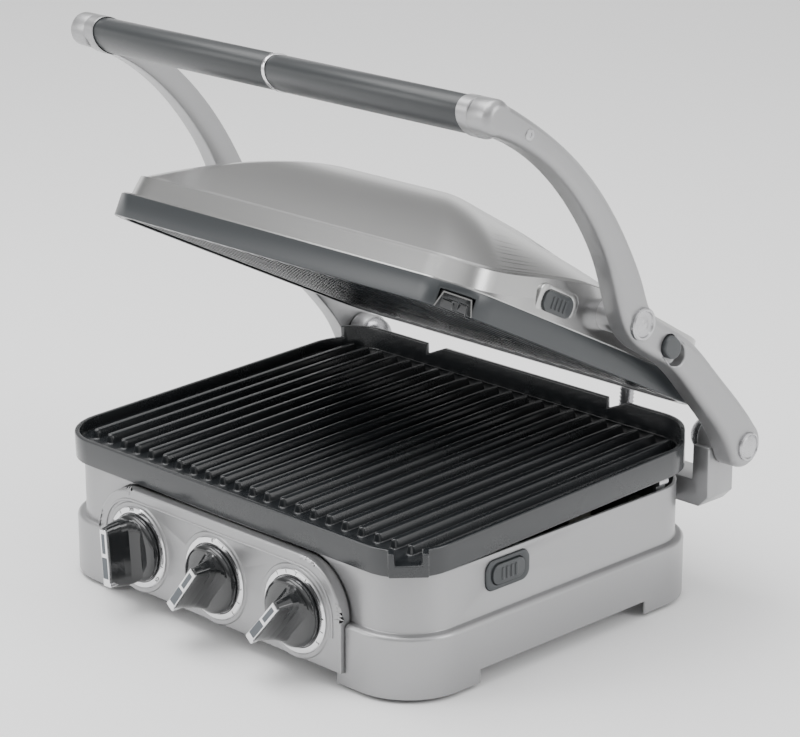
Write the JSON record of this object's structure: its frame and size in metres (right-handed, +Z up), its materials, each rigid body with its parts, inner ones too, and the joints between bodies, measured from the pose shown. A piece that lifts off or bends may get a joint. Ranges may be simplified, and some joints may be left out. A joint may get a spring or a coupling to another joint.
{
  "type": "panini press",
  "caption": "Countertop contact grill with ribbed plates, a floating lid hung on curved arms with a cross handle, and front control knobs.",
  "frame": {"origin": "centre of the footprint of the open press, on the surface it stands on", "axes": "+X to the right seen from the front, +Y to the rear, +Z up; the knobs face -Y"},
  "size_m": [0.348, 0.3082, 0.3351],
  "materials": {
    "silver_paint": "satin silver paint",
    "cast_silver": "die cast, satin silver paint",
    "cap_metal": "satin",
    "plated_steel": "zinc plated",
    "feet_rubber": "matte",
    "bright_trim": "bright",
    "switch_plastic": "moulded",
    "nonstick": "die cast, black non-stick coat, semi-gloss",
    "element_steel": "heat darkened",
    "grey_plastic": "fine satin",
    "grip_plastic": "fine satin",
    "lid_steel": "brushed",
    "knob_black": "gloss"
  },
  "bodies": {
    "base": {"base_housing": "silver_paint", "base_bottom_cover": "plated_steel", "rubber_feet": "feet_rubber", "bottom_cover_screws": "plated_steel", "control_panel": "silver_paint", "dial_ring_left": "bright_trim", "dial_ring_centre": "bright_trim", "dial_ring_right": "bright_trim", "griddle_thermostat": "switch_plastic", "selector_switch": "switch_plastic", "grill_thermostat": "switch_plastic", "control_bracket": "plated_steel", "lower_grill_plate": "nonstick", "lower_heating_element": "element_steel", "lower_heat_reflector": "plated_steel", "lower_plate_clips": "plated_steel", "hinge_bracket_left": "cast_silver", "hinge_bracket_right": "cast_silver", "hinge_dome_left": "cap_metal", "hinge_dome_right": "cap_metal", "hinge_pins": "plated_steel", "hinge_bracket_screws": "plated_steel", "lower_button_bezel": "grey_plastic", "conduit_gland_lower": "grey_plastic", "lid_conduit": "plated_steel", "cord_gland": "grey_plastic", "terminal_block": "switch_plastic"},
    "arms": {"arm_left": "cast_silver", "arm_right": "cast_silver", "hinge_caps": "cap_metal", "lid_pivot_caps": "cap_metal", "lid_pivot_pins": "plated_steel", "handle_screws": "cap_metal", "handle_grip_left": "grip_plastic", "handle_grip_right": "grip_plastic", "handle_centre_ring": "bright_trim", "handle_core_rod": "plated_steel"},
    "release_slider": {"hinge_release_slider": "grey_plastic"},
    "lid": {"lid_shell": "lid_steel", "lid_band": "grey_plastic", "upper_grill_plate": "nonstick", "upper_heating_element": "element_steel", "upper_heat_reflector": "plated_steel", "lid_pivot_boss_left": "plated_steel", "lid_pivot_boss_right": "plated_steel", "upper_button_bezel": "grey_plastic", "conduit_gland_upper": "grey_plastic"},
    "knob_left": {"knob_left": "knob_black", "knob_left_trim": "bright_trim", "knob_left_shaft": "plated_steel"},
    "knob_centre": {"knob_centre": "knob_black", "knob_centre_trim": "bright_trim", "knob_centre_shaft": "plated_steel"},
    "knob_right": {"knob_right": "knob_black", "knob_right_trim": "bright_trim", "knob_right_shaft": "plated_steel"},
    "lower_button": {"lower_release_button": "grey_plastic", "lower_latch_bar": "plated_steel"},
    "upper_button": {"upper_release_button": "grey_plastic", "upper_latch_bar": "plated_steel"}
  },
  "joints": [
    {"name": "arm_hinge", "type": "hinge", "parent": "base", "child": "arms", "pos_m": [0, 0.1395, 0.094], "axis": [-1, 0, 0], "range_deg": [-29, 147], "deforming": ["lid_conduit"]},
    {"name": "lid_float", "type": "hinge", "parent": "arms", "child": "lid", "pos_m": [0, 0.041, 0.1902], "axis": [-1, 0, 0], "range_deg": [0, 2.5]},
    {"name": "left_knob_turn", "type": "hinge", "parent": "base", "child": "knob_left", "pos_m": [-0.068, -0.128, 0.0375], "axis": [0, 1, 0], "range_deg": [0, 270]},
    {"name": "centre_knob_turn", "type": "hinge", "parent": "base", "child": "knob_centre", "pos_m": [0, -0.128, 0.0375], "axis": [0, 1, 0], "range_deg": [-42, 138]},
    {"name": "right_knob_turn", "type": "hinge", "parent": "base", "child": "knob_right", "pos_m": [0.068, -0.128, 0.0375], "axis": [0, 1, 0], "range_deg": [-45, 225]},
    {"name": "lower_button_press", "type": "slide", "parent": "base", "child": "lower_button", "axis": [-1, 0, 0], "range_m": [0, 0.003], "stiffness_N_per_m": 400},
    {"name": "upper_button_press", "type": "slide", "parent": "lid", "child": "upper_button", "axis": [-1, 0, 0], "range_m": [0, 0.003], "stiffness_N_per_m": 400},
    {"name": "release_slide", "type": "slide", "parent": "arms", "child": "release_slider", "axis": [0, 0.7154, -0.6987], "range_m": [0, 0.008], "stiffness_N_per_m": 300}
  ]
}
